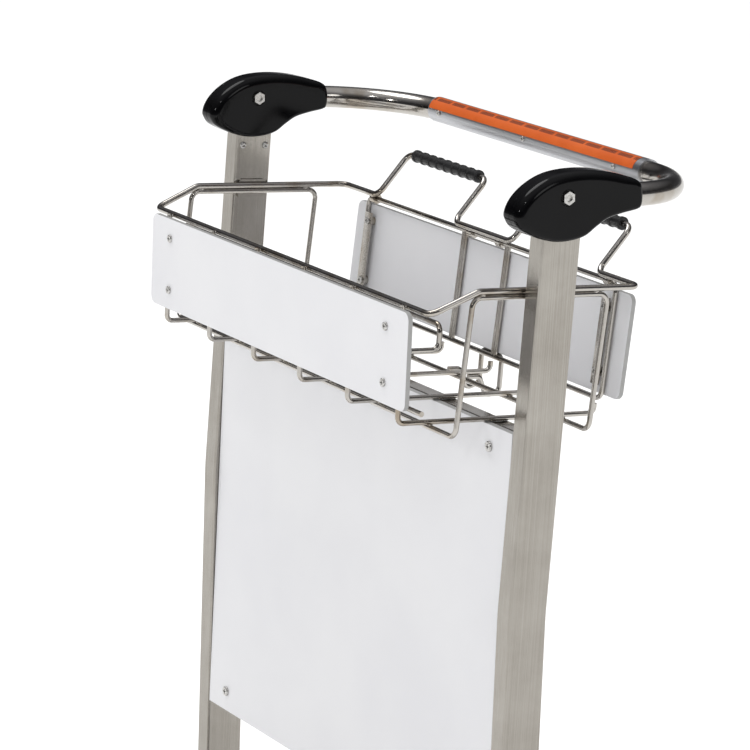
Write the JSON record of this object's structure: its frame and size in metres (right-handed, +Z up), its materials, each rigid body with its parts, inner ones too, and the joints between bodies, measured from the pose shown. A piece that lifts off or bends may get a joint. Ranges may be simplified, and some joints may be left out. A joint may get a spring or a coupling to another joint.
{
  "type": "airport luggage trolley",
  "caption": "Airport luggage trolley with a wire basket, a nesting gate, a press-down brake handle, a low load deck, braked rear wheels and a swivel caster.",
  "frame": {"origin": "on the floor, under the middle of the trolley's overall box", "axes": "+X to the trolley's right as pushed, +Y toward the person pushing, +Z up"},
  "size_m": [0.6032, 1.005, 1.0276],
  "materials": {
    "stainless_tube": "satin",
    "stainless_wire": "polished",
    "screw_steel": "satin",
    "white_board": "matte",
    "black_plastic": "gloss",
    "grip_plastic": "matte",
    "cover_aluminium": "satin",
    "orange_label": "semi-gloss",
    "black_rubber": "matte",
    "zinc_steel": "satin",
    "grey_tyre": "matte",
    "grey_hub": "matte"
  },
  "bodies": {
    "frame": {"upright_right": "stainless_tube", "upright_left": "stainless_tube", "rail_right": "stainless_tube", "rail_left": "stainless_tube", "nose_tube": "stainless_tube", "nose_bumper": "black_rubber", "deck_rear_tube": "stainless_tube", "deck_middle_tube": "stainless_tube", "deck_front_tube": "stainless_tube", "deck_wires": "stainless_tube", "lower_cross_tube": "stainless_tube", "upper_cross_tube": "stainless_tube", "corner_guard_right": "black_rubber", "corner_guard_left": "black_rubber", "axle_brackets": "stainless_tube", "rear_axles": "screw_steel", "caster_plate": "zinc_steel", "front_board": "white_board", "board_tabs": "stainless_tube", "board_screws": "screw_steel", "basket_rim": "stainless_wire", "bail_grip_left": "grip_plastic", "bail_grip_right": "grip_plastic", "basket_hoop": "stainless_wire", "basket_floor": "stainless_wire", "front_stay": "stainless_wire", "basket_lugs": "stainless_tube", "gate_stop": "stainless_wire", "hinge_clips": "stainless_wire", "front_panel": "white_board", "front_panel_screws": "screw_steel", "pivot_bolts": "screw_steel"},
    "gate": {"gate_frame": "stainless_wire", "rear_panel": "white_board", "gate_straps": "stainless_wire", "gate_rivets": "screw_steel"},
    "handle": {"handlebar": "stainless_tube", "knuckle_outer_right": "black_plastic", "knuckle_inner_right": "black_plastic", "knuckle_outer_left": "black_plastic", "knuckle_inner_left": "black_plastic", "drive_pins": "screw_steel", "bar_cover": "cover_aluminium", "cover_screws": "screw_steel", "bar_label": "orange_label"},
    "rod_right": {"push_rod_right": "zinc_steel"},
    "rod_left": {"push_rod_left": "zinc_steel"},
    "brake_right": {"brake_arm_right": "zinc_steel", "brake_shoe_right": "black_rubber"},
    "brake_left": {"brake_arm_left": "zinc_steel", "brake_shoe_left": "black_rubber"},
    "wheel_right": {"tyre_rear_right": "grey_tyre", "hub_rear_right": "grey_hub"},
    "wheel_left": {"tyre_rear_left": "grey_tyre", "hub_rear_left": "grey_hub"},
    "caster": {"caster_fork": "zinc_steel", "caster_axle": "screw_steel"},
    "caster_wheel": {"caster_hub": "grey_hub", "caster_tyre": "grey_tyre"}
  },
  "joints": [
    {"name": "gate_swing", "type": "hinge", "parent": "frame", "child": "gate", "pos_m": [0, 0.42405, 0.90119], "axis": [1, 0, 0], "range_deg": [-70, 0]},
    {"name": "handle_press", "type": "hinge", "parent": "frame", "child": "handle", "pos_m": [0, 0.3203, 1.005], "axis": [1, 0, 0], "range_deg": [-8, 0], "stiffness_Nm_per_rad": 20, "springref_deg": 22.92},
    {"name": "rod_right_slide", "type": "slide", "parent": "frame", "child": "rod_right", "axis": [0, -0.0945, -0.9955], "range_m": [0, 0.0017]},
    {"name": "rod_left_slide", "type": "slide", "parent": "frame", "child": "rod_left", "axis": [0, -0.0945, -0.9955], "range_m": [0, 0.0017]},
    {"name": "brake_right_lift", "type": "hinge", "parent": "frame", "child": "brake_right", "pos_m": [0, 0.26839, 0.205], "axis": [1, 0, 0], "range_deg": [0, 8]},
    {"name": "brake_left_lift", "type": "hinge", "parent": "frame", "child": "brake_left", "pos_m": [0, 0.26839, 0.205], "axis": [1, 0, 0], "range_deg": [0, 8]},
    {"name": "wheel_right_spin", "type": "hinge", "parent": "frame", "child": "wheel_right", "pos_m": [0.243, 0.3823, 0.1], "axis": [1, 0, 0], "continuous": true},
    {"name": "wheel_left_spin", "type": "hinge", "parent": "frame", "child": "wheel_left", "pos_m": [-0.243, 0.3823, 0.1], "axis": [1, 0, 0], "continuous": true},
    {"name": "caster_swivel", "type": "hinge", "parent": "frame", "child": "caster", "pos_m": [0, -0.4217, 0.12], "axis": [0, 0, 1], "continuous": true},
    {"name": "caster_spin", "type": "hinge", "parent": "caster", "child": "caster_wheel", "pos_m": [0, -0.3877, 0.05], "axis": [1, 0, 0], "continuous": true}
  ],
  "couplings": [
    {"joint": "rod_right_slide", "follows": "handle_press", "m_per_rad": -0.012},
    {"joint": "rod_left_slide", "follows": "handle_press", "m_per_rad": -0.012},
    {"joint": "brake_right_lift", "follows": "handle_press", "ratio": -1},
    {"joint": "brake_left_lift", "follows": "handle_press", "ratio": -1}
  ]
}
